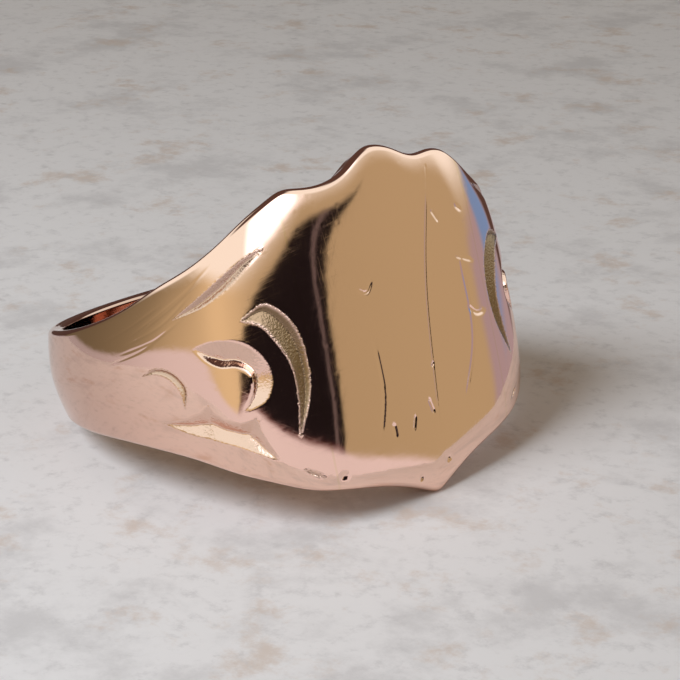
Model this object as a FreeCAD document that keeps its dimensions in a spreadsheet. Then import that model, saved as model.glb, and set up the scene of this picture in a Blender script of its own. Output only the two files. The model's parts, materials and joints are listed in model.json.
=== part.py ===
import FreeCAD, Part
import math
import os
from FreeCAD import Placement, Rotation, Vector

# A shield signet ring, lying on its side. Lengths are in millimetres and angles in degrees.
# The ring is drawn upright in its own frame: the bore runs along Z, the head faces +X and the
# two shoulders are mirror images about the XZ plane. Every piece is then tipped about Y, so
# that the head's lower point and the back of the shank share one level floor.

doc = FreeCAD.newDocument("SignetRing")


# ---- driving dimensions ----

DIMENSIONS = [
    ("finger_radius", 9.3),     # bore, for an inside diameter of 18.6
    ("shank_radius", 10.4),     # outside of the shank at the back
    ("face_reach", 10.86),      # bore axis to the middle of the face
    ("face_radius", 45.0),      # the nearly flat face, seen along the bore
    ("face_turn", 6.0),         # how far the surface has turned where each radius ends
    ("brow_radius", 12.0),      # between the face and the corner
    ("brow_turn", 22.0),
    ("corner_radius", 3.3),
    ("corner_turn", 68.0),
    ("edge_round", 0.2),        # on the outer edges, above and below
    ("head_half_angle", 29.3),  # from the middle of the face to the head's solder joint
    ("shank_joint_angle", 101.0),
    ("solder_width", 0.1),
    ("wall_flare", 0.05),       # growth of the band's height per millimetre of radius
    ("flare_radius", 11.0),     # radius at which the outline heights are given
    ("cut_depth", 0.28),        # engraved cuts on the shoulders
    ("shoulder_facing", 50.0),  # direction in which the engraver's cuts are sunk
    ("band_inner", 8.0),        # radii between which the outline surfaces are ruled
    ("band_outer", 14.0),
    ("blank_height", 24.0),
]

sizes = doc.addObject("Spreadsheet::Sheet", "Sizes")
for row, (alias, value) in enumerate(DIMENSIONS, start=1):
    sizes.set("A%d" % row, alias)
    sizes.set("B%d" % row, str(value))
    sizes.setAlias("B%d" % row, alias)
doc.recompute()


def size(alias):
    return float(sizes.get(alias))


# Edge heights of the band, as (angle from the middle of the face, height). Above, a rounded
# crest stands between two hollows and two low corners, the left one worn lower and rounder than
# the right. Below, the shield runs to a point.
CREST_LEFT = [(0, 8.4), (4, 8.33), (8, 8.03), (12, 7.6), (16, 7.32), (19.5, 7.26), (23, 7.18), (26, 6.95),
              (29, 6.52), (31, 6.18), (34, 5.62), (38, 4.97), (44, 4.25), (51, 3.85), (60, 3.6),
              (70, 3.3), (84, 2.9)]
CREST_RIGHT = [(0, 8.4), (4, 8.15), (8, 7.72), (12, 7.36), (17, 7.12), (23, 7.08), (28.5, 7.05),
               (32, 6.74), (37, 6.18), (44, 5.28), (51, 4.62), (60, 4.12), (70, 3.52), (84, 2.95)]
POINT = [(0, -8.7), (3, -8.52), (8, -8.08), (14, -7.58), (21, -7.08), (29, -6.54), (35, -6.08),
         (44, -5.12), (51, -4.58), (60, -3.98), (70, -3.54), (84, -3.12), (100, -2.84), (125, -2.46)]
SHANK = [(100, 2.6), (125, 2.34), (152, 2.22), (180, 2.18)]


def allRound(left, right):
    """Both halves of an outline as one, once round the ring from the middle of the face."""
    mirrored = [(360 - angle, height) for angle, height in right if 0 < angle < 180]
    return left + mirrored[::-1]


lowerHalf = POINT + [(angle, -height) for angle, height in SHANK if angle > POINT[-1][0]]
crest = allRound(CREST_LEFT + SHANK, CREST_RIGHT + SHANK)
point = allRound(lowerHalf, lowerHalf)


def outlineEdge(outline, radius):
    """A closed spline that runs round the bore axis at one radius, through the outline."""
    flare = 1 + size("wall_flare") * (radius - size("flare_radius"))
    points = []
    for angle, height in outline:
        turn = math.radians(angle)
        points.append(Vector(radius * math.cos(turn), radius * math.sin(turn), height * flare))
    knots = [float(angle) for angle, height in outline] + [360.0]
    curve = Part.BSplineCurve()
    curve.interpolate(Points=points, Parameters=knots, PeriodicFlag=True)
    return curve.toShape()


# ---- the band between the two outlines, with walls that point at the bore axis ----

edges = {}
for name, outline in (("crest", crest), ("point", point)):
    for side in ("band_inner", "band_outer"):
        edges[name, side] = outlineEdge(outline, size(side))

walls = [
    Part.makeRuledSurface(edges["crest", "band_inner"], edges["crest", "band_outer"]),
    Part.makeRuledSurface(edges["point", "band_inner"], edges["point", "band_outer"]),
    Part.makeRuledSurface(edges["point", "band_inner"], edges["crest", "band_inner"]),
    Part.makeRuledSurface(edges["point", "band_outer"], edges["crest", "band_outer"]),
]
shell = Part.makeShell(walls)
shell.sewShape()
band = doc.addObject("Part::Feature", "outline_band")
band.Shape = Part.makeSolid(shell)
if band.Shape.Volume < 0:
    band.Shape = band.Shape.reversed()


# ---- the plan: five tangent arcs on each side, seen along the bore ----

def direction(angle):
    return Vector(math.cos(math.radians(angle)), math.sin(math.radians(angle)), 0)


def planArcs(inset):
    """Centre, radius, first and last angle of each arc on the +Y side, face to back.

    An inset moves every arc inwards, for the floor of the engraved cuts."""
    bends = [(size("face_radius"), size("face_turn")), (size("brow_radius"), size("brow_turn")),
             (size("corner_radius"), size("corner_turn"))]
    reached = Vector(size("face_reach"), 0, 0)
    turned = 0.0
    arcs = []
    for radius, end in bends:
        centre = reached - direction(turned) * radius
        arcs.append((centre, radius - inset, turned, end))
        reached = centre + direction(end) * radius
        turned = end
    # the side arc leaves the corner smoothly and runs into the shank's circle
    back = size("shank_radius")
    overhang = reached.dot(direction(turned)) - back
    radius = (reached.dot(reached) - back ** 2) / (2 * overhang)
    centre = reached - direction(turned) * radius
    meet = math.degrees(math.atan2(-centre.y, -centre.x))
    arcs.append((centre, radius - inset, turned, meet))
    arcs.append((Vector(0, 0, 0), back - inset, meet, 180.0))
    return arcs


def planFace(inset):
    pieces = []
    for centre, radius, start, end in planArcs(inset):
        middle = (start + end) / 2
        points = [centre + direction(angle) * radius for angle in (start, middle, end)]
        pieces.append(Part.Arc(*points).toShape())
        mirrored = [Vector(p.x, -p.y, 0) for p in points]
        pieces.append(Part.Arc(*mirrored).toShape())
    return Part.Face(Part.Wire(Part.__sortEdges__(pieces)))


def prism(name, inset):
    """A plan face and its extrusion, centred on the XY plane."""
    face = doc.addObject("Part::Feature", name + "_plan")
    face.Shape = planFace(inset)
    solid = doc.addObject("Part::Extrusion", name)
    solid.Base = face
    solid.DirMode = "Custom"
    solid.Dir = Vector(0, 0, 1)
    solid.Solid = True
    solid.Symmetric = True
    solid.setExpression("LengthFwd", "Sizes.blank_height")
    return solid


def cylinder(name, radius, angle="360", start=0.0):
    """A cylinder or a sector of one about the bore axis; start is where the sector begins."""
    solid = doc.addObject("Part::Cylinder", name)
    solid.setExpression("Radius", radius)
    solid.setExpression("Height", "Sizes.blank_height")
    solid.setExpression("Angle", angle)
    solid.Placement = Placement(Vector(0, 0, -size("blank_height") / 2), Rotation(Vector(0, 0, 1), start))
    return solid


def boolean(kind, name, base, tool):
    result = doc.addObject("Part::" + kind, name)
    result.Base = base
    result.Tool = tool
    return result


blankPrism = prism("blank_prism", 0.0)
outerBlank = boolean("Common", "outer_blank", blankPrism, band)
bore = cylinder("bore", "Sizes.finger_radius")
blank = boolean("Cut", "ring_blank", outerBlank, bore)
doc.recompute()


def isOuterRim(edge):
    """Whether an edge runs where the outside meets the upper or the lower wall."""
    ends = [edge.valueAt(edge.FirstParameter), edge.valueAt(edge.LastParameter)]
    outside = min(math.hypot(p.x, p.y) for p in ends) > (size("finger_radius") + size("shank_radius")) / 2
    return outside and ends[0].z * ends[1].z > 0


rounded = doc.addObject("Part::Fillet", "rounded_blank")
rounded.Base = blank
rounded.Edges = [(number, size("edge_round"), size("edge_round"))
                 for number, edge in enumerate(blank.Shape.Edges, start=1) if isOuterRim(edge)]


# ---- engraved cuts on a shoulder ----

# Each cut is bounded by two curved edges that meet in points: (angle, height) on the +Y side.
CUTS = [
    ([(36.5, 4.95), (44, 4.25), (52, 3.2), (59.5, 2.45)], [(43, 3.8), (51, 2.85)]),
    ([(43.5, 2.1), (37, 2.45), (31.5, 1.1), (30, -1.2), (35.5, -3.6)],
     [(38, 1.1), (35.5, -0.5), (34.5, -1.9)]),
    ([(54.5, 1.2), (46, 1.4), (40, 0.3), (38.5, -1.1), (45.5, -2.0)],
     [(50, 0.1), (45, 0.0), (43.5, -1.0)]),
    ([(68.5, 0.15), (63.5, 0.6), (58.5, 0.0), (58.5, -1.45)], [(63.5, 0.25), (59.8, -0.3)]),
    ([(66.5, -2.0), (59, -1.75), (52, -1.75), (46.5, -2.35), (40.5, -4.5)],
     [(59, -2.55), (50.5, -3.5)]),
]


def surfacePoint(angle, height):
    """The point of the outside surface at this angle about the bore, on the +Y side."""
    ray = direction(angle)
    for centre, radius, start, end in planArcs(0.0):
        along = ray.dot(centre)
        inside = along ** 2 - centre.dot(centre) + radius ** 2
        if inside < 0:
            continue
        point = ray * (along + math.sqrt(inside))
        turned = math.degrees(math.atan2(point.y - centre.y, point.x - centre.x))
        if start <= turned <= end:
            break
    return Vector(point.x, point.y, height)


def cutPunch(first, second, side):
    """A prism through one cut's outline, sunk along the shoulder's facing direction."""
    facing = direction(side * size("shoulder_facing"))
    edgeList = []
    for path in (first, [first[0]] + second + [first[-1]]):
        points = []
        for angle, height in path:
            point = surfacePoint(angle, height)
            point.y *= side
            points.append(point - facing * point.dot(facing))
        curve = Part.BSplineCurve()
        curve.interpolate(points)
        edgeList.append(curve.toShape())
    return Part.Face(Part.Wire(edgeList)).extrude(facing * size("band_outer") * 1.1)


floorPrism = prism("cut_floor", size("cut_depth"))
skin = boolean("Cut", "cut_skin", outerBlank, floorPrism)
engraving = {}
for side, name in ((1, "left"), (-1, "right")):
    punches = doc.addObject("Part::Feature", name + "_punches")
    punches.Shape = Part.makeCompound([cutPunch(first, second, side) for first, second in CUTS])
    engraving[name] = boolean("Common", name + "_engraving", skin, punches)


# ---- the pieces, parted at radial joints with a thin seam of solder in each ----

headAngle = size("head_half_angle")
shankAngle = size("shank_joint_angle")
seamAngle = math.degrees(size("solder_width") / size("flare_radius"))
headSpan = 2 * headAngle
shoulderSpan = shankAngle - headAngle - seamAngle
shankSpan = 360 - 2 * (shankAngle + seamAngle) + seamAngle

def roundingCentre(reach, height):
    """Height of the middle of a lower edge's rounding, for a band of this reach and half height."""
    rounding = size("edge_round")
    slope = height * size("wall_flare")
    wall = height + slope * (reach - rounding - size("flare_radius"))
    return rounding * math.sqrt(1 + slope ** 2) - wall


# lying down, the ring rests on the rounded lower edges of the head's point and of the back
headRest = roundingCentre(size("face_reach"), -POINT[0][1])
backRest = roundingCentre(size("shank_radius"), SHANK[-1][1])
between = size("face_reach") + size("shank_radius") - 2 * size("edge_round")
tilt = math.degrees(math.atan((backRest - headRest) / between))
lying = Placement(Vector(0, 0, 0), Rotation(Vector(0, 1, 0), -tilt))


def piece(name, start, span):
    """The stretch of the ring that begins at one angle and runs on through a span."""
    sector = cylinder(name + "_sector", "Sizes.band_outer * 1.1", "%.6f deg" % span, start)
    return boolean("Common", name + "_blank", rounded, sector)


seams = [("left_head_solder", headAngle), ("left_shank_solder", shankAngle),
         ("right_head_solder", -headAngle - seamAngle), ("right_shank_solder", -shankAngle - seamAngle)]
pieces = {"signet_head": piece("signet_head", -headAngle, headSpan)}
pieces["back_shank"] = piece("back_shank", shankAngle + seamAngle, shankSpan - seamAngle)
shoulders = {"left": headAngle + seamAngle, "right": -shankAngle}
for name, start in shoulders.items():
    shoulder = piece(name + "_shoulder", start, shoulderSpan)
    pieces[name + "_shoulder"] = boolean("Cut", name + "_shoulder_cut", shoulder, engraving[name])
for name, start in seams:
    pieces[name] = piece(name, start, seamAngle)

for name, body in pieces.items():
    body.Label = name
    body.Placement = lying
doc.recompute()


# ---- checks and export ----

for item in doc.Objects:
    if "Invalid" in item.State or "Error" in item.State:
        raise RuntimeError("%s is in state %s" % (item.Name, item.State))

os.makedirs("parts", exist_ok=True)
for name, body in pieces.items():
    shape = body.Shape
    if shape.isNull() or not shape.isValid() or len(shape.Solids) != 1:
        raise RuntimeError("%s has no single valid solid (%d)" % (name, len(shape.Solids)))
    shape.exportStep(os.path.join("parts", name + ".step"))
    box = shape.BoundBox
    print("%-20s volume %8.2f mm3, X %.2f to %.2f, Y %.2f to %.2f, Z %.2f to %.2f"
          % (name, shape.Volume, box.XMin, box.XMax, box.YMin, box.YMax, box.ZMin, box.ZMax))
print("tilt %.2f degrees" % tilt)
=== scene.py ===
import bpy
import bmesh
import json
import math
import numpy as np
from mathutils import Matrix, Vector

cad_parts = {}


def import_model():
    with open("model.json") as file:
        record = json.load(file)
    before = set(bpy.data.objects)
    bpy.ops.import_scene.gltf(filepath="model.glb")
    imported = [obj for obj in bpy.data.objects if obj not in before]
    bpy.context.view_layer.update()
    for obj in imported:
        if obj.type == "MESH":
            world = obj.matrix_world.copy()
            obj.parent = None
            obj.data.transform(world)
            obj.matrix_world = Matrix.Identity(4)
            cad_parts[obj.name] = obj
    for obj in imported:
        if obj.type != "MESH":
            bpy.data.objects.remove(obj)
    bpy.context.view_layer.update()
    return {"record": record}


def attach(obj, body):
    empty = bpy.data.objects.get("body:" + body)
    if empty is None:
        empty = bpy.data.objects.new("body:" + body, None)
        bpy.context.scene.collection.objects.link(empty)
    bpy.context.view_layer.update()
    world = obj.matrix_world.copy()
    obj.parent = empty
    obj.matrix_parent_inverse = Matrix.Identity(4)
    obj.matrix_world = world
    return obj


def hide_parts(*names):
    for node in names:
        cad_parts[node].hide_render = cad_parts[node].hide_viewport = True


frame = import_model()
print("frame loaded")

mm = 0.001
boreAxis = Vector(frame["record"]["mounts"][0]["axis"])
tilt = math.atan2(-boreAxis.x, boreAxis.z)  # the ring lies with its head raised by this angle

# The ring's own form, upright: bore along Z, head facing +X. Lengths in mm, angles in degrees.
# Lists pair an angle from the middle of the head with the value there.
ringForm = {
    "fingerRadius": 9.3,
    "shankRadius": 10.4,
    "faceReach": 10.86,
    "bends": [(45.0, 6.0), (12.0, 22.0), (3.3, 68.0)],  # radius, and where it has turned to
    "flare": 0.05,  # the share by which the band gets taller for each mm further out
    "flareRadius": 11.0,  # where the crest and the point have their given heights
    "crestLeft": [(0, 8.4), (4, 8.33), (8, 8.03), (12, 7.6), (16, 7.32), (19.5, 7.26), (23, 7.18),
                  (26, 6.95), (29, 6.52), (31, 6.18), (34, 5.62), (38, 4.97), (44, 4.25), (51, 3.85),
                  (60, 3.6), (70, 3.3), (84, 2.9)],
    "crestRight": [(0, 8.4), (4, 8.15), (8, 7.72), (12, 7.36), (17, 7.12), (23, 7.08), (28.5, 7.05),
                   (32, 6.74), (37, 6.18), (44, 5.28), (51, 4.62), (60, 4.12), (70, 3.52), (84, 2.95)],
    "point": [(0, -8.7), (3, -8.52), (8, -8.08), (14, -7.58), (21, -7.08), (29, -6.54), (35, -6.08),
              (44, -5.12), (51, -4.58), (60, -3.98), (70, -3.54), (84, -3.12), (100, -2.84),
              (125, -2.46)],
    "shank": [(100, 2.6), (125, 2.34), (152, 2.22), (180, 2.18)],
    "crown": [(0, 0.16), (25, 0.16), (45, 0.34), (70, 0.5), (100, 0.36), (180, 0.3)],  # fullness
    "crownPower": [(0, 6.0), (30, 5.0), (50, 3.2), (70, 2.2), (180, 2.0)],
    "edge": [(0, 0.3), (30, 0.3), (60, 0.34), (180, 0.32)],  # worn rounding of the outer edges
    "boreEdge": 0.2,
    "planSoftness": 0.35,  # the polish has run the plan's radii into each other
    "polishedOff": 0.006,  # what the polish has taken off the outside
}


# Values through the pairs (angle from the head's middle, value), the left side then the right.
def smoothTable(left, angles, right=None):
    mirrored = [(360 - k, v) for k, v in (right or left)[::-1] if 0 < k < 180]
    knots, values = zip(*(list(left) + mirrored))
    return periodicSpline(knots, values, angles)


# A cubic spline round the ring that passes through every value.
def periodicSpline(knots, values, angles):
    x = np.array(list(knots) + [knots[0] + 360.0])
    y = np.array(list(values) + [values[0]])
    n = len(x) - 1
    h = np.diff(x)
    slopes = np.diff(y) / h
    system = np.zeros((n, n))
    load = np.zeros(n)
    for i in range(n):
        before, after = h[i - 1], h[i]
        system[i, i - 1] += before
        system[i, i] += 2 * (before + after)
        system[i, (i + 1) % n] += after
        load[i] = 6 * (slopes[i] - slopes[i - 1])
    bend = np.linalg.solve(system, load)
    bend = np.append(bend, bend[0])
    a = np.asarray(angles) % 360.0
    i = np.clip(np.searchsorted(x, a, side="right") - 1, 0, n - 1)
    t, w = a - x[i], h[i]
    left = (w - t) / w
    right = t / w
    cubic = ((left ** 3 - left) * bend[i] + (right ** 3 - right) * bend[i + 1]) * w * w / 6
    return left * y[i] + right * y[i + 1] + cubic


def facing(angle):
    return np.array([math.cos(math.radians(angle)), math.sin(math.radians(angle))])


# The outside seen along the bore, as radius by angle: tangent arcs, softened together.
def planOutline(form):
    reached = np.array([form["faceReach"], 0.0])
    turned = 0.0
    arcs = []
    for radius, end in form["bends"]:
        centre = reached - facing(turned) * radius
        arcs.append((centre, radius, turned, end))
        reached = centre + facing(end) * radius
        turned = end
    back = form["shankRadius"]
    overhang = reached @ facing(turned) - back
    radius = (reached @ reached - back ** 2) / (2 * overhang)
    centre = reached - facing(turned) * radius
    meet = math.degrees(math.atan2(-centre[1], -centre[0]))
    arcs.append((centre, radius, turned, meet))
    arcs.append((np.zeros(2), back, meet, 180.0))
    points = []
    for centre, radius, start, end in arcs:
        sweep = np.radians(np.linspace(start, end, 400, endpoint=False))
        points.append(centre + radius * np.stack([np.cos(sweep), np.sin(sweep)], -1))
    points = np.concatenate(points)
    angles = np.degrees(np.arctan2(points[:, 1], points[:, 0]))
    radii = np.hypot(points[:, 0], points[:, 1])
    fine = np.arange(-180.0, 180.0, 0.05)
    reach = np.interp(np.abs(fine), angles, radii)
    spread = form["planSoftness"] / 11.0
    kernelAngles = np.radians(np.arange(-12.0, 12.0001, 0.05))
    kernel = np.exp(-0.5 * (kernelAngles / spread) ** 2)
    kernel /= kernel.sum()
    half = len(kernel) // 2
    padded = np.concatenate([reach[-half:], reach, reach[:half]])
    return fine, np.convolve(padded, kernel, mode="valid")


planAngles, planReach = planOutline(ringForm)


def reachAt(angles):
    a = (np.asarray(angles) + 180.0) % 360.0 - 180.0
    return np.interp(a, planAngles, planReach, period=360.0) - ringForm["polishedOff"]


# Height of the band's upper (crest) or lower (point) edge, at the flare radius.
def edgeHeight(which, angles):
    if which == "crest":
        return smoothTable(ringForm["crestLeft"] + ringForm["shank"], angles,
                           ringForm["crestRight"] + ringForm["shank"])
    below = ringForm["point"]
    return smoothTable(below + [(k, -v) for k, v in ringForm["shank"] if k > below[-1][0]], angles)


# From the ring's own upright frame in mm to the lying frame in metres.
def tipped(points):
    c, s = math.cos(tilt), math.sin(tilt)
    x = points[..., 0] * c - points[..., 2] * s
    z = points[..., 0] * s + points[..., 2] * c
    return np.stack([x, points[..., 1], z], -1) * mm


# From the lying frame in metres back to the ring's own frame in mm.
def upright(points):
    c, s = math.cos(tilt), math.sin(tilt)
    x = (points[..., 0] * c + points[..., 2] * s) / mm
    z = (-points[..., 0] * s + points[..., 2] * c) / mm
    return np.stack([x, points[..., 1] / mm, z], -1)


# How finely each stretch is divided: columns in (first angle, last angle, step), rows by count.
bandSettings = {
    "headColumns": [(-29.3, -8.0, 0.45), (-8.0, 25.0, 0.24), (25.0, 29.3, 0.36)],
    "shoulderColumns": [(29.82, 72.0, 0.235), (72.0, 101.0, 0.8)],
    "shankColumns": [(101.52, 258.48, 0.7)],
    "seamColumns": 5,
    "headRows": 230,
    "shoulderRows": 235,
    "shankRows": 56,
    "edgeRows": 9,
    "wallRows": 5,
    "boreRows": 24,
}


# One section of the band as a loop of (up, out, lean), from the middle of the bore and back.
# up runs from the lower edge to the upper one, out from the bore to the face, and lean is the
# way a rounded edge points: -1 down, 0 square to the surface, 1 up.
def sectionTemplate(faceRows):
    edge = np.linspace(0, 1, bandSettings["edgeRows"])
    wall = np.linspace(0, 1, bandSettings["wallRows"] + 2)[1:-1]
    bore = np.linspace(0, 1, bandSettings["boreRows"])
    face = np.linspace(0, 1, faceRows)
    rows = [(0.5 - 0.5 * b, 0.0, 0.0) for b in bore[:-1]]
    rows += [(0.0, 0.0, -e) for e in edge]
    rows += [(0.0, w, -1.0) for w in wall]
    rows += [(0.0, 1.0, e - 1.0) for e in edge[:-1]]
    rows += [(f, 1.0, 0.0) for f in face]
    rows += [(1.0, 1.0, e) for e in edge[1:]]
    rows += [(1.0, 1.0 - w, 1.0) for w in wall]
    rows += [(1.0, 0.0, 1.0 - e) for e in edge]
    rows += [(1.0 - 0.5 * b, 0.0, 0.0) for b in bore[1:]]
    return np.array(rows)


# A row of loose points that carries numbers for the node tree to read.
def lineObject(name, count, attributes):
    mesh = bpy.data.meshes.new(name)
    mesh.from_pydata([(0.0, 0.0, 0.0)] * count, [], [])
    for key, values in attributes.items():
        layer = mesh.attributes.new(key, "FLOAT", "POINT")
        layer.data.foreach_set("value", np.asarray(values, dtype=np.float32))
    made = bpy.data.objects.new(name, mesh)
    bpy.context.scene.collection.objects.link(made)
    return made


def addNode(tree, kind, **settings):
    node = tree.nodes.new(kind)
    for key, value in settings.items():
        setattr(node, key, value)
    return node


# A Math node fed by sockets or plain numbers; gives its output.
def nodeMath(tree, operation, *values):
    node = addNode(tree, "ShaderNodeMath", operation=operation)
    for socket, value in zip(node.inputs, values):
        if isinstance(value, (int, float)):
            socket.default_value = value
        else:
            tree.links.new(value, socket)
    return node.outputs[0]


# The number called name on one point of a geometry.
def sampled(tree, geometry, name, index):
    named = addNode(tree, "GeometryNodeInputNamedAttribute", data_type="FLOAT")
    named.inputs["Name"].default_value = name
    sample = addNode(tree, "GeometryNodeSampleIndex", data_type="FLOAT", domain="POINT")
    tree.links.new(geometry, sample.inputs["Geometry"])
    tree.links.new(named.outputs["Attribute"], sample.inputs["Value"])
    tree.links.new(index, sample.inputs["Index"])
    return sample.outputs["Value"]


# Sweeps the section round the bore: every column of a grid is one section.
def bandTree():
    tree = bpy.data.node_groups.new("sweptBand", "GeometryNodeTree")
    face = tree.interface
    face.new_socket("Stations", in_out="INPUT", socket_type="NodeSocketGeometry")
    face.new_socket("Section", in_out="INPUT", socket_type="NodeSocketObject")
    for name in ("Finger Radius", "Bore Edge", "Flare", "Flare Radius", "Tilt", "Unit"):
        face.new_socket(name, in_out="INPUT", socket_type="NodeSocketFloat")
    face.new_socket("Material", in_out="INPUT", socket_type="NodeSocketMaterial")
    face.new_socket("Band", in_out="OUTPUT", socket_type="NodeSocketGeometry")
    into = addNode(tree, "NodeGroupInput").outputs
    out = addNode(tree, "NodeGroupOutput")
    link = tree.links.new

    section = addNode(tree, "GeometryNodeObjectInfo")
    link(into["Section"], section.inputs["Object"])
    counts = []
    for geometry in (into["Stations"], section.outputs["Geometry"]):
        count = addNode(tree, "GeometryNodeAttributeDomainSize")
        link(geometry, count.inputs["Geometry"])
        counts.append(count.outputs["Point Count"])
    columns, rows = counts
    grid = addNode(tree, "GeometryNodeMeshGrid")
    link(columns, grid.inputs["Vertices X"])
    link(rows, grid.inputs["Vertices Y"])
    index = addNode(tree, "GeometryNodeInputIndex").outputs[0]
    column = nodeMath(tree, "FLOOR", nodeMath(tree, "DIVIDE", nodeMath(tree, "ADD", index, 0.5), rows))
    row = nodeMath(tree, "SUBTRACT", index, nodeMath(tree, "MULTIPLY", column, rows))

    station = {k: sampled(tree, into["Stations"], k, column)
               for k in ("angle", "reach", "crest", "point", "crown", "crownPower", "edge")}
    template = {k: sampled(tree, section.outputs["Geometry"], k, row) for k in ("up", "outward", "lean")}
    up, outward, lean = template["up"], template["outward"], template["lean"]

    def mixed(a, b, share):
        return nodeMath(tree, "MULTIPLY_ADD", nodeMath(tree, "SUBTRACT", b, a), share, a)

    # the core that the edges are rounded about
    edge = mixed(into["Bore Edge"], station["edge"], outward)
    inner = nodeMath(tree, "ADD", into["Finger Radius"], into["Bore Edge"])
    swing = nodeMath(tree, "MULTIPLY_ADD", up, 2.0, -1.0)
    bulge = nodeMath(tree, "POWER", nodeMath(tree, "ABSOLUTE", swing), station["crownPower"])
    hollow = nodeMath(tree, "MULTIPLY", station["crown"], bulge)
    rim = nodeMath(tree, "SUBTRACT", station["reach"], station["edge"])
    outer = nodeMath(tree, "SUBTRACT", rim, hollow)
    radius = mixed(inner, outer, outward)
    growth = nodeMath(tree, "MULTIPLY_ADD", nodeMath(tree, "SUBTRACT", radius, into["Flare Radius"]),
                      into["Flare"], 1.0)
    top = nodeMath(tree, "SUBTRACT", nodeMath(tree, "MULTIPLY", station["crest"], growth), edge)
    bottom = nodeMath(tree, "ADD", nodeMath(tree, "MULTIPLY", station["point"], growth), edge)
    height = mixed(bottom, top, up)

    # the slope of the crowned face, then the turn of the rounded edges
    steep = nodeMath(tree, "POWER", nodeMath(tree, "ABSOLUTE", swing),
                     nodeMath(tree, "SUBTRACT", station["crownPower"], 1.0))
    steep = nodeMath(tree, "MULTIPLY", nodeMath(tree, "MULTIPLY", steep, station["crown"]),
                     nodeMath(tree, "MULTIPLY", station["crownPower"], nodeMath(tree, "SIGN", swing)))
    steep = nodeMath(tree, "DIVIDE", nodeMath(tree, "MULTIPLY", steep, 2.0),
                     nodeMath(tree, "SUBTRACT", top, bottom))
    slope = nodeMath(tree, "MULTIPLY", nodeMath(tree, "ARCTANGENT", steep), outward)
    still = nodeMath(tree, "SUBTRACT", 1.0, nodeMath(tree, "ABSOLUTE", lean))
    turn = nodeMath(tree, "MULTIPLY_ADD", lean, math.pi / 2, nodeMath(tree, "MULTIPLY", still, slope))
    side = nodeMath(tree, "SIGN", nodeMath(tree, "SUBTRACT", outward, 0.5))
    outwards = nodeMath(tree, "MULTIPLY", edge, nodeMath(tree, "COSINE", turn))
    radius = nodeMath(tree, "ADD", radius, nodeMath(tree, "MULTIPLY", outwards, side))
    height = nodeMath(tree, "MULTIPLY_ADD", edge, nodeMath(tree, "SINE", turn), height)

    # round the bore, then tipped to lie on its side
    x = nodeMath(tree, "MULTIPLY", radius, nodeMath(tree, "COSINE", station["angle"]))
    y = nodeMath(tree, "MULTIPLY", radius, nodeMath(tree, "SINE", station["angle"]))
    place = addNode(tree, "ShaderNodeCombineXYZ")
    c = nodeMath(tree, "COSINE", into["Tilt"])
    s = nodeMath(tree, "SINE", into["Tilt"])
    lowered = nodeMath(tree, "MULTIPLY", height, s)
    raised = nodeMath(tree, "MULTIPLY", height, c)
    lyingX = nodeMath(tree, "SUBTRACT", nodeMath(tree, "MULTIPLY", x, c), lowered)
    lyingZ = nodeMath(tree, "ADD", nodeMath(tree, "MULTIPLY", x, s), raised)
    for socket, value in zip(place.inputs, (lyingX, y, lyingZ)):
        link(nodeMath(tree, "MULTIPLY", value, into["Unit"]), socket)
    move = addNode(tree, "GeometryNodeSetPosition")
    link(grid.outputs["Mesh"], move.inputs["Geometry"])
    link(place.outputs[0], move.inputs["Position"])
    smooth = addNode(tree, "GeometryNodeSetShadeSmooth")
    link(move.outputs[0], smooth.inputs["Geometry"])
    real = addNode(tree, "GeometryNodeRealizeInstances")
    link(smooth.outputs[0], real.inputs["Geometry"])
    coat = addNode(tree, "GeometryNodeSetMaterial")
    link(real.outputs[0], coat.inputs["Geometry"])
    link(into["Material"], coat.inputs["Material"])
    link(coat.outputs[0], out.inputs["Band"])
    return tree


# Sets a node tree's input by its socket's identifier.
def setInput(modifier, name, value):
    for item in modifier.node_group.interface.items_tree:
        if item.item_type == "SOCKET" and item.in_out == "INPUT" and item.name == name:
            modifier[item.identifier] = value


# Angles of the sections, in spans of (first, last, step).
def columnAngles(spans):
    parts = []
    for first, last, step in spans:
        count = max(2, int(round((last - first) / step)) + 1)
        parts.append(np.linspace(first, last, count)[1 if parts else 0:])
    return np.concatenate(parts)


# A stretch of the ring as a grid of points: columns by rows.
def sweepBand(name, angles, faceRows, material):
    template = sectionTemplate(faceRows)
    section = lineObject(name + "Section", len(template),
                         {"up": template[:, 0], "outward": template[:, 1], "lean": template[:, 2]})
    stations = {"angle": np.radians(angles), "reach": reachAt(angles),
                "crest": edgeHeight("crest", angles), "point": edgeHeight("point", angles)}
    for key in ("crown", "crownPower", "edge"):
        stations[key] = smoothTable(ringForm[key], angles)
    guide = lineObject(name + "Stations", len(angles), stations)
    modifier = guide.modifiers.new("sweptBand", "NODES")
    modifier.node_group = sweptBand
    for key, value in (("Section", section), ("Finger Radius", ringForm["fingerRadius"]),
                       ("Bore Edge", ringForm["boreEdge"]), ("Flare", ringForm["flare"]),
                       ("Flare Radius", ringForm["flareRadius"]), ("Tilt", tilt), ("Unit", mm),
                       ("Material", material)):
        setInput(modifier, key, value)
    evaluated = guide.evaluated_get(bpy.context.evaluated_depsgraph_get())
    mesh = bpy.data.meshes.new_from_object(evaluated)
    for helper in (guide, section):
        bpy.data.objects.remove(helper)
    return mesh, template


def readPoints(mesh):
    flat = np.empty(len(mesh.vertices) * 3, dtype=np.float32)
    mesh.vertices.foreach_get("co", flat)
    return flat.reshape(-1, 3).astype(float)


# Normals of a grid of points, columns by rows, away from the metal.
def outwardNormals(points):
    across = np.gradient(points, axis=0)
    along = np.gradient(points, axis=1)
    normals = np.cross(across, along)
    normals /= np.linalg.norm(normals, axis=-1, keepdims=True) + 1e-12
    middle = normals.shape[1] // 2
    radial = points[:, middle] * (1, 1, 0)
    if np.sum(normals[:, middle] * radial) < 0:
        normals = -normals
    return normals


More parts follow.
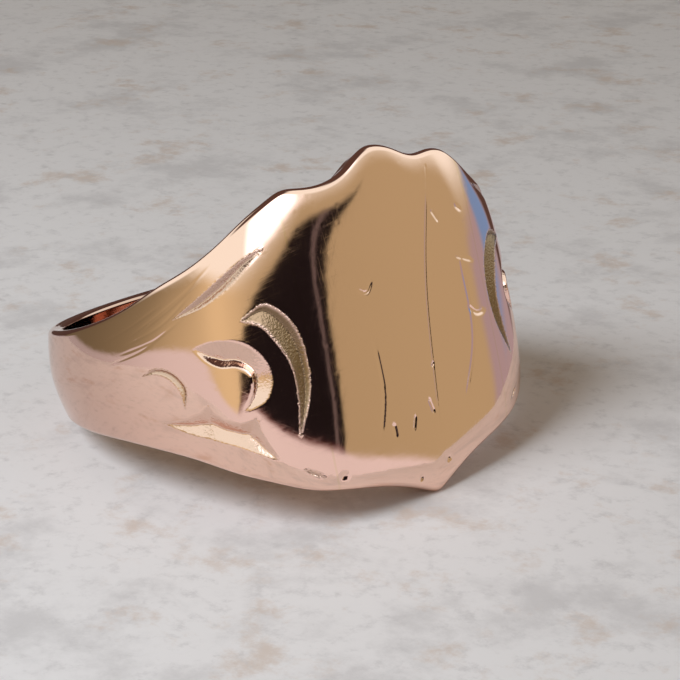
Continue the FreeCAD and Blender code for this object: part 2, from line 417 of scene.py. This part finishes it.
# A field on a grid, blurred by a few passes over its neighbours.
def softened(field, passes):
    for _ in range(passes):
        padded = np.pad(field, 1, mode="edge")
        field = (4 * field + padded[2:, 1:-1] + padded[:-2, 1:-1]
                 + padded[1:-1, 2:] + padded[1:-1, :-2]) / 8
    return field


arcLength = np.concatenate([[0.0], np.cumsum(np.hypot(
    np.diff(planReach * np.cos(np.radians(planAngles))),
    np.diff(planReach * np.sin(np.radians(planAngles)))))])
arcLength -= np.interp(0.0, planAngles, arcLength)


# Distance round the outside from the middle of the face, in mm.
def arcAt(angles):
    return np.interp(angles, planAngles, arcLength)


# A path of (angle, height) laid out flat, as (distance round the outside, height).
def flatPath(path):
    path = np.array(path, dtype=float)
    return np.stack([arcAt(path[:, 0]), path[:, 1]], -1)


# A smooth run of points through a path, by its chord lengths.
def smoothPath(path, count=60):
    path = np.asarray(path, dtype=float)
    steps = np.concatenate([[0], np.cumsum(np.hypot(*np.diff(path, axis=0).T))])
    t = np.linspace(0, steps[-1], count)
    slopes = np.gradient(path, steps, axis=0)
    i = np.clip(np.searchsorted(steps, t, side="right") - 1, 0, len(steps) - 2)
    h = (steps[i + 1] - steps[i])[:, None]
    f = ((t - steps[i]) / h[:, 0])[:, None]
    return ((2 * f ** 3 - 3 * f ** 2 + 1) * path[i] + (f ** 3 - 2 * f ** 2 + f) * h * slopes[i]
            + (3 * f ** 2 - 2 * f ** 3) * path[i + 1] + (f ** 3 - f ** 2) * h * slopes[i + 1])


# Distance of every grid point to a path, and how far along the path it is (0 to 1).
def pathDistance(u, v, path):
    best = np.full(u.shape, 1e9)
    along = np.zeros(u.shape)
    for k in range(len(path) - 1):
        a, b = path[k], path[k + 1]
        d = b - a
        length = d @ d + 1e-12
        t = np.clip(((u - a[0]) * d[0] + (v - a[1]) * d[1]) / length, 0, 1)
        gap = np.hypot(u - a[0] - t * d[0], v - a[1] - t * d[1])
        closer = gap < best
        best = np.where(closer, gap, best)
        along = np.where(closer, (k + t) / (len(path) - 1), along)
    return best, along


def insideOutline(u, v, outline):
    inside = np.zeros(u.shape, dtype=bool)
    for a, b in zip(outline, np.roll(outline, -1, axis=0)):
        crosses = (a[1] > v) != (b[1] > v)
        inside ^= crosses & (u < (b[0] - a[0]) * (v - a[1]) / (b[1] - a[1] + 1e-12) + a[0])
    return inside


# Each cut lies between two edges, (angle, height); deepest says where between the first edge (0)
# and the second (1) the graver ran, depth is in mm and fullWidth is the width that reaches it.
# Each cut's last number is the share of the dark cut colour it takes: partly tarnish in the cut, partly
# painted shade.
engraving = {
    "leaf": {"first": [(34.6, 5.02), (40.3, 4.66), (45.5, 4.05), (50.5, 3.42), (57.6, 2.6)],
             "second": [(34.6, 5.02), (39.4, 4.33), (43.5, 3.68), (49.0, 3.06), (57.6, 2.6)],
             "deepest": 0.55, "depth": 0.26, "fullWidth": 0.7, "tarnishAndShade": 0.45},
    "outerCrescent": {"first": [(42.6, 2.1), (37.6, 2.5), (32.8, 1.5), (30.8, -0.4), (31.5, -1.6),
                                (35.8, -3.65)],
                      "second": [(42.6, 2.1), (39.3, 1.75), (36.5, 0.8), (34.4, -0.4), (34.3, -1.7),
                                 (35.8, -3.65)],
                      "deepest": 0.22, "depth": 0.24, "fullWidth": 1.1, "tarnishAndShade": 1.0},
    "innerCrescent": {"first": [(53.6, 1.22), (49.5, 1.42), (45.5, 1.3), (41.2, 0.65), (38.9, -0.7),
                                (40.8, -1.55), (45.6, -1.95)],
                      "second": [(53.6, 1.22), (51.2, 0.55), (48.6, 0.2), (45.3, 0.1), (43.1, -0.35),
                                 (43.4, -1.1), (45.6, -1.95)],
                      "deepest": 0.75, "depth": 0.28, "fullWidth": 0.9, "tarnishAndShade": 0.12},
    "smallCrescent": {"first": [(68.6, 0.22), (64.5, 0.52), (60.6, 0.32), (57.6, -0.5), (58.8, -1.45)],
                      "second": [(68.6, 0.22), (64.6, 0.3), (61.2, 0.02), (59.1, -0.6), (58.8, -1.45)],
                      "deepest": 0.5, "depth": 0.17, "fullWidth": 0.4, "tarnishAndShade": 0.45},
    "lowerLeaf": {"cusps": True,
                  "first": [(66.4, -2.0), (62.5, -2.0), (58.8, -1.93), (55.3, -1.72), (53.2, -1.4),
                            (52.4, -1.78), (50.3, -2.2), (47.3, -2.45), (45.0, -2.4), (43.6, -2.22),
                            (43.2, -3.1), (42.2, -3.8), (41.0, -4.55)],
                  "second": [(66.4, -2.0), (60.0, -2.62), (52.6, -3.15), (47.5, -3.62), (44.0, -4.1),
                             (41.0, -4.5)],
                  "deepest": 0.5, "depth": 0.28, "fullWidth": 0.9, "tarnishAndShade": 0.15},
    "lowCut": {"first": [(36.9, -5.11), (34.4, -5.42), (32.0, -5.86)],
               "second": [(36.9, -5.11), (34.2, -5.66), (32.0, -5.86)],
               "deepest": 0.5, "depth": 0.12, "fullWidth": 0.25, "tarnishAndShade": 0.45},
}


# Light lines drawn along the shoulder beside the leaf.
brushedLine = {"width": 0.07, "depth": 0.006}
brushed = [[(44.0, 5.1), (52.0, 3.9), (60.0, 3.0), (70.0, 2.1)], [(49.0, 4.2), (56.0, 3.3), (66.0, 2.3)],
           [(55.0, 2.6), (62.0, 1.9), (74.0, 1.3)], [(52.0, 3.6), (60.0, 2.5), (72.0, 1.7)],
           [(58.0, 2.3), (66.0, 1.5), (78.0, 0.9)], [(60.0, 3.3), (70.0, 2.5), (80.0, 1.9)]]


# Depth of the engraving over a shoulder laid out flat, and how dark each point is painted: partly tarnish
# in the cuts, partly painted shade.
def engravedDepth(u, v, side):
    depth = np.zeros(u.shape)
    tarnishAndShade = np.zeros(u.shape)
    for cut in engraving.values():
        first = flatPath(cut["first"])
        edges = [first if "cusps" in cut else smoothPath(first), smoothPath(flatPath(cut["second"]))]
        outline = np.concatenate([edges[0], edges[1][::-1]])
        u0 = u * side
        near = ((u0 > outline[:, 0].min()) & (u0 < outline[:, 0].max())
                & (v > outline[:, 1].min()) & (v < outline[:, 1].max()))
        inside = np.zeros(u.shape, dtype=bool)
        inside[near] = insideOutline(u0[near], v[near], outline)
        fromFirst, _ = pathDistance(u0[inside], v[inside], edges[0])
        fromSecond, _ = pathDistance(u0[inside], v[inside], edges[1])
        width = fromFirst + fromSecond + 1e-9
        across = fromFirst / width
        k = cut["deepest"]
        profile = np.minimum(across / k, (1 - across) / (1 - k))
        full = np.minimum(width / cut["fullWidth"], 1.15)
        depth[inside] = np.maximum(depth[inside], cut["depth"] * profile * full)
        tarnishAndShade[inside] = cut["tarnishAndShade"]
    for path in brushed:
        depth += strokeDepth(u * side, v, dict(brushedLine, path=path))
    return depth, tarnishAndShade


# Strokes on the face, each a path of (angle, height) with a width and a depth in mm.
strokes = {
    "hairline": {"path": [(18, 6.5), (10, 2), (3, -6)],
                 "width": 0.06, "depth": 0.02},
    "rightGouge": {"path": [(23, 2), (22, -2), (14, -5)],
                   "width": 0.16, "depth": 0.03},
    "rightTear": {"path": [(22, -0.5), (25, -1), (28, -1)], "width": 0.18, "depth": 0.03},
    "upperTear": {"path": [(21, 2), (27, 1.5)], "width": 0.12, "depth": 0.018},
    "leftGouge": {"path": [(-12, -0.5), (-12.5, -3), (-16, -5)],
                  "width": 0.1, "depth": 0.022},
    "leftNick": {"path": [(-11.5, -4.5), (-11.5, -5.2)], "width": 0.12, "depth": 0.035},
    "middleNick": {"path": [(1.5, -4), (2.5, -4.8)], "width": 0.13, "depth": 0.04},
    "lowNick": {"path": [(-4, -4.5), (-5.5, -5.2)], "width": 0.1, "depth": 0.03},
    "highNick": {"path": [(16, 4.5), (18, 3.8)], "width": 0.12, "depth": 0.03},
    "sideNick": {"path": [(25, 4.3), (26.5, 4)], "width": 0.1, "depth": 0.03},
    "hook": {"path": [(-14, 2), (-11.5, 1.7), (-9, 2.2)], "width": 0.1, "depth": 0.025},
    "pitLeft": {"path": [(-28, -6), (-27.5, -6.1)], "width": 0.22, "depth": 0.05},
    "pitLow": {"path": [(-6, -7.4), (-5.5, -7.5)], "width": 0.2, "depth": 0.05},
    "pitPoint": {"path": [(4, -7), (5, -7.1)], "width": 0.2, "depth": 0.05},
    "pitMiddle": {"path": [(5, -2.5), (5.5, -2.6)], "width": 0.2, "depth": 0.035},
}


def strokeDepth(u, v, stroke):
    path = smoothPath(flatPath(stroke["path"]), 24)
    gap, along = pathDistance(u, v, path)
    fade = np.clip(np.minimum(along, 1 - along) / 0.15, 0.3, 1)
    return stroke["depth"] * np.exp(-2 * (gap / stroke["width"]) ** 2) * fade


# Colour laid over what is under it, by a share.
def blended(tree, share, under, colour):
    blend = addNode(tree, "ShaderNodeMix", data_type="RGBA")
    tree.links.new(share, blend.inputs["Factor"])
    if isinstance(under, tuple):
        blend.inputs["A"].default_value = under + (1,) * (4 - len(under))
    else:
        tree.links.new(under, blend.inputs["A"])
    blend.inputs["B"].default_value = colour + (1,)
    return blend.outputs["Result"]


# Polished alloy with drawn-out polishing lines and small knocks, a colour that turns darker towards the
# back, and cuts painted dark: partly tarnish, partly painted shade.
def metalMaterial(name, settings):
    material = bpy.data.materials.new(name)
    material.use_nodes = True
    tree = material.node_tree
    shader = tree.nodes["Principled BSDF"]
    shader.inputs["Metallic"].default_value = 1.0
    shader.inputs["Base Color"].default_value = settings["colour"] + (1.0,)
    link = tree.links.new
    place = addNode(tree, "ShaderNodeUVMap", uv_map="surface").outputs[0]

    # Fine lines drawn out along one direction: 0 between them, 1 on them.
    def scratches(turn, scale, stretch, low, high):
        mapping = addNode(tree, "ShaderNodeMapping", vector_type="TEXTURE")
        mapping.inputs["Rotation"].default_value = (0, 0, math.radians(turn))
        mapping.inputs["Scale"].default_value = (stretch / scale, 1 / scale, 1)
        link(place, mapping.inputs["Vector"])
        noise = addNode(tree, "ShaderNodeTexNoise", noise_dimensions="2D")
        noise.inputs["Scale"].default_value = 1.0
        noise.inputs["Detail"].default_value = 3.0
        noise.inputs["Distortion"].default_value = 0.15
        link(mapping.outputs[0], noise.inputs["Vector"])
        lines = addNode(tree, "ShaderNodeMapRange")
        lines.inputs["From Min"].default_value = low
        lines.inputs["From Max"].default_value = high
        link(noise.outputs["Fac"], lines.inputs["Value"])
        return lines.outputs[0]

    layers = [scratches(*line) for line in settings["lines"]]
    total = layers[0]
    for layer in layers[1:]:
        total = nodeMath(tree, "ADD", total, layer)
    waves = addNode(tree, "ShaderNodeTexNoise", noise_dimensions="2D")
    waves.inputs["Scale"].default_value = settings["waveScale"]
    waves.inputs["Detail"].default_value = 2.0
    link(place, waves.inputs["Vector"])
    spots = addNode(tree, "ShaderNodeTexVoronoi", voronoi_dimensions="2D")
    spots.inputs["Scale"].default_value = settings["knockScale"]
    link(place, spots.inputs["Vector"])
    knocks = addNode(tree, "ShaderNodeMapRange")
    knocks.inputs["From Min"].default_value = settings["knockSize"]
    knocks.inputs["From Max"].default_value = 0.0
    link(spots.outputs["Distance"], knocks.inputs["Value"])
    height = nodeMath(tree, "MULTIPLY", total, -settings["lineDepth"])
    height = nodeMath(tree, "MULTIPLY_ADD", waves.outputs["Fac"], settings["waveDepth"], height)
    height = nodeMath(tree, "MULTIPLY_ADD", knocks.outputs[0], -settings["knockDepth"], height)
    cut = addNode(tree, "ShaderNodeAttribute", attribute_name="cut").outputs["Fac"]
    chatter = addNode(tree, "ShaderNodeTexNoise", noise_dimensions="2D")
    chatter.inputs["Scale"].default_value = settings["chatterScale"]
    link(place, chatter.inputs["Vector"])
    chatterDepth = nodeMath(tree, "MULTIPLY", nodeMath(tree, "MINIMUM", cut, 0.2), settings["chatterDepth"])
    height = nodeMath(tree, "MULTIPLY_ADD", chatter.outputs["Fac"], chatterDepth, height)
    bump = addNode(tree, "ShaderNodeBump")
    bump.inputs["Strength"].default_value = 1.0
    bump.inputs["Distance"].default_value = mm
    link(height, bump.inputs["Height"])
    link(bump.outputs[0], shader.inputs["Normal"])

    rough = nodeMath(tree, "MULTIPLY_ADD", total, settings["lineRoughness"], settings["roughness"])
    rough = nodeMath(tree, "MULTIPLY_ADD", cut, settings["cutRoughness"], rough)
    link(rough, shader.inputs["Roughness"])
    around = addNode(tree, "ShaderNodeSeparateXYZ")
    link(place, around.inputs[0])
    # the colour turns darker towards the back of the band, between the two distances round the outside from
    # the face
    darkerBack = addNode(tree, "ShaderNodeMapRange", interpolation_type="SMOOTHSTEP")
    darkerBack.inputs["From Min"].default_value = settings["darkerBackFrom"]
    darkerBack.inputs["From Max"].default_value = settings["darkerBackTo"]
    link(nodeMath(tree, "ABSOLUTE", around.outputs[0]), darkerBack.inputs["Value"])
    colour = blended(tree, darkerBack.outputs[0], settings["colour"], settings["darkerBackColour"])
    # the cuts take the dark cut colour by the cut attribute: partly tarnish, partly painted shade
    colour = blended(tree, cut, colour, settings["cutTarnishShadeColour"])
    link(colour, shader.inputs["Base Color"])
    return material


# Sizes and depths are in mm; the From and To of the darker back colour are distances round the outside from
# the face, and between them the colour turns darker towards the back.
goldSettings = {
    "colour": (0.93, 0.63, 0.51),
    # the cuts' dark colour: partly tarnish, partly painted shade
    "cutTarnishShadeColour": (0.26, 0.17, 0.1),
    # the colour towards the back of the band, darker than the face
    "darkerBackColour": (0.70, 0.46, 0.37),
    "darkerBackFrom": 12.0,
    "darkerBackTo": 20.0,
    "roughness": 0.045,
    "lineRoughness": 0.05,
    "cutRoughness": 0.14,
    # turn in degrees, lines per mm, stretch, and the noise that starts and completes a line
    "lines": [(8, 26.0, 50.0, 0.6, 0.8), (-35, 30.0, 80.0, 0.66, 0.8), (62, 30.0, 80.0, 0.66, 0.8),
              (95, 26.0, 60.0, 0.62, 0.8)],
    "lineDepth": 0.00012,
    "waveScale": 0.6,
    "waveDepth": 0.003,
    "chatterScale": 9.0,
    "chatterDepth": 0.1,
    "knockScale": 0.9,
    "knockSize": 0.16,
    "knockDepth": 0.0006,
}
solderSettings = dict(goldSettings, colour=(0.90, 0.62, 0.46))

roseGold = metalMaterial("roseGold", goldSettings)
goldSolder = metalMaterial("goldSolder", solderSettings)
print("metals ready")
sweptBand = bandTree()


# Welds the section's loop shut in the bore and caps the two ends.
def closeBand(mesh, columns, rows):
    form = bmesh.new()
    form.from_mesh(mesh)
    form.verts.ensure_lookup_table()
    shut = {form.verts[c * rows + rows - 1]: form.verts[c * rows] for c in range(columns)}
    bmesh.ops.weld_verts(form, targetmap=shut)
    rims = [edge for edge in form.edges if edge.is_boundary]
    capped = bmesh.ops.holes_fill(form, edges=rims, sides=0)["faces"]
    bmesh.ops.recalc_face_normals(form, faces=form.faces)
    for face in form.faces:
        face.smooth = True
    for face in capped:
        face.smooth = False
        for edge in face.edges:
            edge.smooth = False
    form.to_mesh(mesh)
    form.free()


def buildBand(name, node, angles, faceRows, material, carve=None):
    mesh, template = sweepBand(name, angles, faceRows, material)
    columns, rows = len(angles), len(template)
    points = readPoints(mesh).reshape(columns, rows, 3)
    own = upright(points)
    around = np.broadcast_to(arcAt(angles)[:, None], (columns, rows))
    cut = np.zeros((columns, rows))
    if carve:
        outside = np.flatnonzero(template[:, 1] == 1.0)
        normals = outwardNormals(own)
        depth, cutShare = carve(around[:, outside], own[:, outside, 2])
        own[:, outside] -= normals[:, outside] * depth[..., None]
        cut[:, outside] = cutShare
        mesh.vertices.foreach_set("co", tipped(own).reshape(-1).astype(np.float32))
    # The cut attribute says how far each point takes the dark cut colour (partly tarnish, partly painted
    # shade) and the cuts' extra roughness.
    layer = mesh.attributes.new("cut", "FLOAT", "POINT")
    layer.data.foreach_set("value", cut.reshape(-1).astype(np.float32))
    flat = np.stack([around, own[..., 2]], -1).reshape(-1, 2)
    corners = np.empty(len(mesh.loops), dtype=np.int32)
    mesh.loops.foreach_get("vertex_index", corners)
    layout = mesh.uv_layers.new(name="surface")
    layout.data.foreach_set("uv", flat[corners].reshape(-1).astype(np.float32))
    closeBand(mesh, columns, rows)
    mesh.name = name
    made = bpy.data.objects.new(name, mesh)
    bpy.context.scene.collection.objects.link(made)
    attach(made, "root")
    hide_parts(node)
    print(name, len(mesh.vertices), "points")
    return made


def carveHead(u, v):
    depth = np.zeros(u.shape)
    for stroke in strokes.values():
        depth += strokeDepth(u, v, stroke)
    return depth, np.zeros(u.shape)


def carveShoulder(side):
    def carve(u, v):
        depth, tarnishAndShade = engravedDepth(u, v, side)
        return softened(depth, 3), softened(tarnishAndShade, 2)
    return carve


headColumns = columnAngles(bandSettings["headColumns"])
shoulderColumns = columnAngles(bandSettings["shoulderColumns"])
shankColumns = columnAngles(bandSettings["shankColumns"])
shoulderRows = bandSettings["shoulderRows"]
seamColumns = bandSettings["seamColumns"]
seams = (("Head", (headColumns[-1], shoulderColumns[0]), shoulderRows),
         ("Shank", (shoulderColumns[-1], shankColumns[0]), bandSettings["shankRows"]))
pieces = [buildBand("signetHead", "signet_head", headColumns, bandSettings["headRows"],
                    roseGold, carveHead)]
for side, name in ((1, "left"), (-1, "right")):
    angles = shoulderColumns if side > 0 else -shoulderColumns[::-1]
    pieces.append(buildBand(name + "Shoulder", name + "_shoulder", angles, shoulderRows,
                            roseGold, carveShoulder(side)))
    for joint, ends, count in seams:
        angles = np.sort(np.linspace(*ends, seamColumns) * side)
        pieces.append(buildBand(name + joint + "Solder", name + "_" + joint.lower() + "_solder",
                                angles, count, goldSolder))
pieces.append(buildBand("backShank", "back_shank", shankColumns,
                        bandSettings["shankRows"], roseGold))
print("ring built from", len(pieces), "pieces")


# The floor, in metres: a near disc that the gold mirrors, in a far ring that it doesn't.
stageSettings = {
    "nearRadius": 0.034,
    "floorSize": 0.9,
    "floorColour": (0.80, 0.775, 0.775),
    "floorGrey": (0.60, 0.575, 0.575),
    "floorBlush": (0.62, 0.51, 0.44),
    "farSide": 137,  # azimuth towards which painted shade darkens the floor
    "farSpan": (-0.01, 0.09),
    "farShade": 0.92,
    # scale, detail, the noise where a patch starts and is full, and its colour
    "patches": ((120, 12, 0.48, 0.66, "floorGrey"), (210, 12, 0.53, 0.68, "floorBlush"),
                (900, 8, 0.50, 0.72, "floorGrey")),
}

# What stands round the ring, by azimuth and elevation in degrees. The skylines say where the table
# ends, where a dark shape stands against the room, and where the room gives way to the bright
# ceiling; warmth and tableShade make the tan and the table stronger or weaker by azimuth. An edge
# is a place and its softness.
room = {
    "tableEdge": [(-180, -10), (-110, -10), (-75, -8), (-45, 1), (0, 2.5), (40, -3), (60, -9),
                  (180, -9)],
    "shapeTop": [(-180, -25), (-90, -15), (-45, 4), (0, 13), (60, 13), (80, 0), (180, -25)],
    "ceiling": [(-180, 12), (-120, 11), (-90, 14), (-60, 15), (-30, 17), (0, 18.5), (20, 19), (35, 21),
                (47, 19), (57, 13), (68, 5), (85, 4), (120, 8), (180, 12)],
    "warmth": [(-180, 0.4), (-150, 0.5), (-132, 0.65), (-112, 1.05), (-95, 1.4), (-75, 1.65), (-45, 1.5),
               (-15, 1.2), (15, 1.0), (60, 1.05), (110, 0.7), (180, 0.4)],
    "tableShade": [(-180, 0.72), (-150, 0.8), (-115, 1.0), (-60, 1.12), (20, 1.1), (45, 1.1), (57, 0.95),
                   (68, 0.56), (90, 0.6), (180, 0.72)],
    "tableSoftness": 1.0,
    "ceilingSoftness": 5.0,
    "windowLeft": (-14.0, 8.0),
    "windowRight": (30.0, 6.0),
    "windowSill": (19.5, 2.5),
    "mauveLeft": (62.0, 3.0),
    "mauveTop": (1.0, 1.5),
    "blueLeft": (76.0, 3.0),
    "blueRight": (92.0, 3.0),
    "blueTop": (1.8, 2.0),
    "blueFoot": (-6.0, 2.0),
    "overheadFrom": (57.0, 7.0),
    "backFrom": (93.0, 3.0),
    "shapeSide": 21.0,  # azimuth of the dark shape's edge, and how far it leans for each degree up
    "shapeLean": 1.25,
    "shapeSoftness": 0.8,
    "fringeRise": 0.8,  # how far the reddish fringe stands above the table
    "stripeInset": 4.2,
    "stripeHalf": (0.9, 0.5),
    "table": (0.72, 0.69, 0.72),
    "tan": (0.47, 0.41, 0.25),
    "shape": (0.012, 0.009, 0.01),
    "stripe": (0.15, 0.125, 0.125),
    "fringe": (0.16, 0.05, 0.04),
    "bright": (1.05, 1.15, 1.1),
    "window": (2.6, 2.8, 3.1),
    "blue": (0.2, 0.36, 0.68),
    "mauve": (0.42, 0.37, 0.42),
    "overhead": (0.10, 0.06, 0.05),
    "softLight": (0.185, 0.135, 0.08),  # what the floor is lit by
    "backdrop": (0.56, 0.54, 0.53),  # what shows past the floor
}


def lookFrom(azimuth, elevation):
    a, e = math.radians(azimuth), math.radians(elevation)
    return Vector((math.cos(e) * math.cos(a), math.cos(e) * math.sin(a), math.sin(e)))


# Pale mottled paper: white, with worn grey and blush patches, and painted shade darkening it towards the
# far side.
def paperMaterial():
    material = bpy.data.materials.new("paper")
    material.use_nodes = True
    tree = material.node_tree
    shader = tree.nodes["Principled BSDF"]
    shader.inputs["Roughness"].default_value = 0.6
    place = addNode(tree, "ShaderNodeTexCoord").outputs["Object"]
    colour = stageSettings["floorColour"] + (1,)
    for scale, detail, low, high, tint in stageSettings["patches"]:
        noise = addNode(tree, "ShaderNodeTexNoise")
        noise.inputs["Scale"].default_value = scale
        noise.inputs["Detail"].default_value = detail
        noise.inputs["Roughness"].default_value = 0.68
        tree.links.new(place, noise.inputs["Vector"])
        share = addNode(tree, "ShaderNodeMapRange", interpolation_type="SMOOTHSTEP")
        share.inputs["From Min"].default_value = low
        share.inputs["From Max"].default_value = high
        share.inputs["To Max"].default_value = 0.75
        tree.links.new(noise.outputs["Fac"], share.inputs["Value"])
        colour = blended(tree, share.outputs[0], colour, stageSettings[tint])
    # painted shade: the paper's colour darkens towards the far side, standing in for the light falling off
    away = addNode(tree, "ShaderNodeVectorMath", operation="DOT_PRODUCT")
    tree.links.new(place, away.inputs[0])
    away.inputs[1].default_value = lookFrom(stageSettings["farSide"], 0)
    shade = addNode(tree, "ShaderNodeMapRange", interpolation_type="SMOOTHSTEP")
    shade.inputs["From Min"].default_value = stageSettings["farSpan"][0]
    shade.inputs["From Max"].default_value = stageSettings["farSpan"][1]
    shade.inputs["To Max"].default_value = 1 - stageSettings["farShade"]
    tree.links.new(away.outputs["Value"], shade.inputs["Value"])
    colour = blended(tree, shade.outputs[0], colour, (0.0, 0.0, 0.0))
    tree.links.new(colour, shader.inputs["Base Color"])
    return material


def floorPart(name, corners, faces, material):
    mesh = bpy.data.meshes.new(name)
    mesh.from_pydata([(x, y, 0.0) for x, y in corners], [], faces)
    mesh.materials.append(material)
    made = bpy.data.objects.new(name, mesh)
    made.location.z = lowest
    bpy.context.scene.collection.objects.link(made)
    return made


lowest = min(readPoints(piece.data)[:, 2].min() for piece in pieces)
paper = paperMaterial()
turns = np.radians(np.arange(0, 360, 5))
radii = (stageSettings["nearRadius"], stageSettings["floorSize"])
disc = [(r * math.cos(t), r * math.sin(t)) for r in radii for t in turns]
sides = len(turns)
floorPart("floorNear", disc[:sides], [list(range(sides))], paper)
floorFar = floorPart("floorFar", disc, [[k, (k + 1) % sides, sides + (k + 1) % sides, sides + k]
                                        for k in range(sides)], paper)
floorFar.visible_glossy = False  # past the near floor, the gold mirrors the painted room instead
print("floor laid")


# The room as bands of colour round the ring, for the gold to mirror. The floor takes one plain soft
# light from it instead, and past the floor there is only a plain pale backdrop.
def paintRoom():
    world = bpy.data.worlds.new("room")
    bpy.context.scene.world = world
    world.use_nodes = True
    tree = world.node_tree
    link = tree.links.new
    direction = addNode(tree, "ShaderNodeSeparateXYZ")
    link(addNode(tree, "ShaderNodeTexCoord").outputs["Generated"], direction.inputs[0])
    x, y, z = direction.outputs
    degree = 180 / math.pi
    azimuth = nodeMath(tree, "MULTIPLY", nodeMath(tree, "ARCTAN2", y, x), degree)
    elevation = nodeMath(tree, "MULTIPLY", nodeMath(tree, "ARCSINE", z), degree)

    # The value at this azimuth of a curve through pairs of (azimuth, value).
    def valueAt(points):
        curve = addNode(tree, "ShaderNodeFloatCurve")
        line = curve.mapping.curves[0]
        while len(line.points) < len(points):
            line.points.new(0.5, 0.5)
        for dot, (turn, value) in zip(line.points, points):
            dot.location = ((turn + 180) / 360, (value + 30) / 60)
        curve.mapping.update()
        link(nodeMath(tree, "MULTIPLY_ADD", azimuth, 1 / 360, 0.5), curve.inputs["Value"])
        return nodeMath(tree, "MULTIPLY_ADD", curve.outputs[0], 60.0, -30.0)

    # A colour made stronger or weaker by azimuth.
    def scaled(colour, points):
        scale = addNode(tree, "ShaderNodeVectorMath", operation="SCALE")
        scale.inputs[0].default_value = colour
        link(valueAt(points), scale.inputs["Scale"])
        return scale.outputs[0]

    # 0 below the edge and 1 above it, with a soft step between.
    def past(value, edge, softness):
        step = addNode(tree, "ShaderNodeMapRange", interpolation_type="SMOOTHSTEP")
        step.inputs["From Min"].default_value = -softness
        step.inputs["From Max"].default_value = softness
        link(nodeMath(tree, "SUBTRACT", value, edge), step.inputs["Value"])
        return step.outputs[0]

    def over(under, colour, share):
        return blended(tree, share, under, colour)

    def both(a, b):
        return nodeMath(tree, "MULTIPLY", a, b)

    def beyond(value, name):
        return past(value, *room[name])

    def before(name, value):
        place, softness = room[name]
        return past(place, value, softness)

    tableEdge = valueAt(room["tableEdge"])
    view = over(scaled(room["tan"], room["warmth"]), room["bright"],
                past(elevation, valueAt(room["ceiling"]), room["ceilingSoftness"]))
    pane = both(beyond(azimuth, "windowLeft"),
                both(before("windowRight", azimuth), beyond(elevation, "windowSill")))
    view = over(view, room["window"], pane)
    mauve = both(beyond(azimuth, "mauveLeft"), before("mauveTop", elevation))
    view = over(view, room["mauve"], mauve)
    blue = both(beyond(azimuth, "blueLeft"), before("blueRight", azimuth))
    blue = both(blue, both(before("blueTop", elevation), beyond(elevation, "blueFoot")))
    view = over(view, room["blue"], blue)
    view = over(view, room["overhead"], beyond(elevation, "overheadFrom"))
    view = over(view, room["overhead"], beyond(azimuth, "backFrom"))

    # the dark shape, with its leaning edge, its stripe and its fringe
    soft = room["shapeSoftness"]
    side = nodeMath(tree, "MULTIPLY_ADD", elevation, room["shapeLean"], room["shapeSide"])
    shape = both(past(valueAt(room["shapeTop"]), elevation, soft), past(side, azimuth, soft))
    view = over(view, room["shape"], shape)
    fromSide = nodeMath(tree, "SUBTRACT", azimuth, side)
    fromStripe = nodeMath(tree, "ABSOLUTE", nodeMath(tree, "ADD", fromSide, room["stripeInset"]))
    view = over(view, room["stripe"], both(shape, before("stripeHalf", fromStripe)))
    fringeTop = nodeMath(tree, "ADD", tableEdge, room["fringeRise"])
    view = over(view, room["fringe"], both(shape, past(fringeTop, elevation, soft)))
    table = past(tableEdge, elevation, room["tableSoftness"])
    blend = addNode(tree, "ShaderNodeMix", data_type="RGBA")
    link(table, blend.inputs["Factor"])
    link(view, blend.inputs["A"])
    link(scaled(room["table"], room["tableShade"]), blend.inputs["B"])
    view = blend.outputs["Result"]
    background = tree.nodes["Background"]
    link(view, background.inputs["Color"])
    rays = addNode(tree, "ShaderNodeLightPath").outputs
    shown = background.outputs[0]
    for ray, colour in (("Is Diffuse Ray", "softLight"), ("Is Camera Ray", "backdrop")):
        plain = addNode(tree, "ShaderNodeBackground")
        plain.inputs["Color"].default_value = room[colour] + (1,)
        choose = addNode(tree, "ShaderNodeMixShader")
        link(rays[ray], choose.inputs["Fac"])
        link(shown, choose.inputs[1])
        link(plain.outputs[0], choose.inputs[2])
        shown = choose.outputs[0]
    link(shown, tree.nodes["World Output"].inputs["Surface"])


paintRoom()
print("room painted")

# Distances in metres; the camera's aim is in mm, as the ring's form is.
lampSettings = {"from": (-98, 44), "distance": 0.2, "size": 0.11, "energy": 0.38,
                "colour": (0.86, 0.93, 1.0)}
cameraSettings = {"from": (-42.99, 20.49), "distance": 0.110, "aim": (3.085, 2.935, -0.684),
                  "lens": 116.1, "clipStart": 0.01}

window = bpy.data.lights.new("window", "AREA")
window.shape = "DISK"
window.size = lampSettings["size"]
window.energy = lampSettings["energy"]
window.color = lampSettings["colour"]
lamp = bpy.data.objects.new("window", window)
lamp.location = lookFrom(*lampSettings["from"]) * lampSettings["distance"]
lamp.rotation_euler = (-lamp.location).to_track_quat("-Z", "Y").to_euler()
lamp.visible_glossy = False  # the gold mirrors the painted room only
lamp.visible_camera = False
bpy.context.scene.collection.objects.link(lamp)

camera = bpy.data.objects.new("camera", bpy.data.cameras.new("camera"))
camera.data.lens = cameraSettings["lens"]
camera.data.clip_start = cameraSettings["clipStart"]
position = lookFrom(*cameraSettings["from"]) * cameraSettings["distance"]
target = Vector(cameraSettings["aim"]) * mm
camera.location = position
camera.rotation_euler = (target - position).to_track_quat("-Z", "Y").to_euler()
bpy.context.scene.collection.objects.link(camera)
bpy.context.scene.camera = camera
bpy.context.scene.view_settings.view_transform = "Standard"
print("lamp and camera placed")
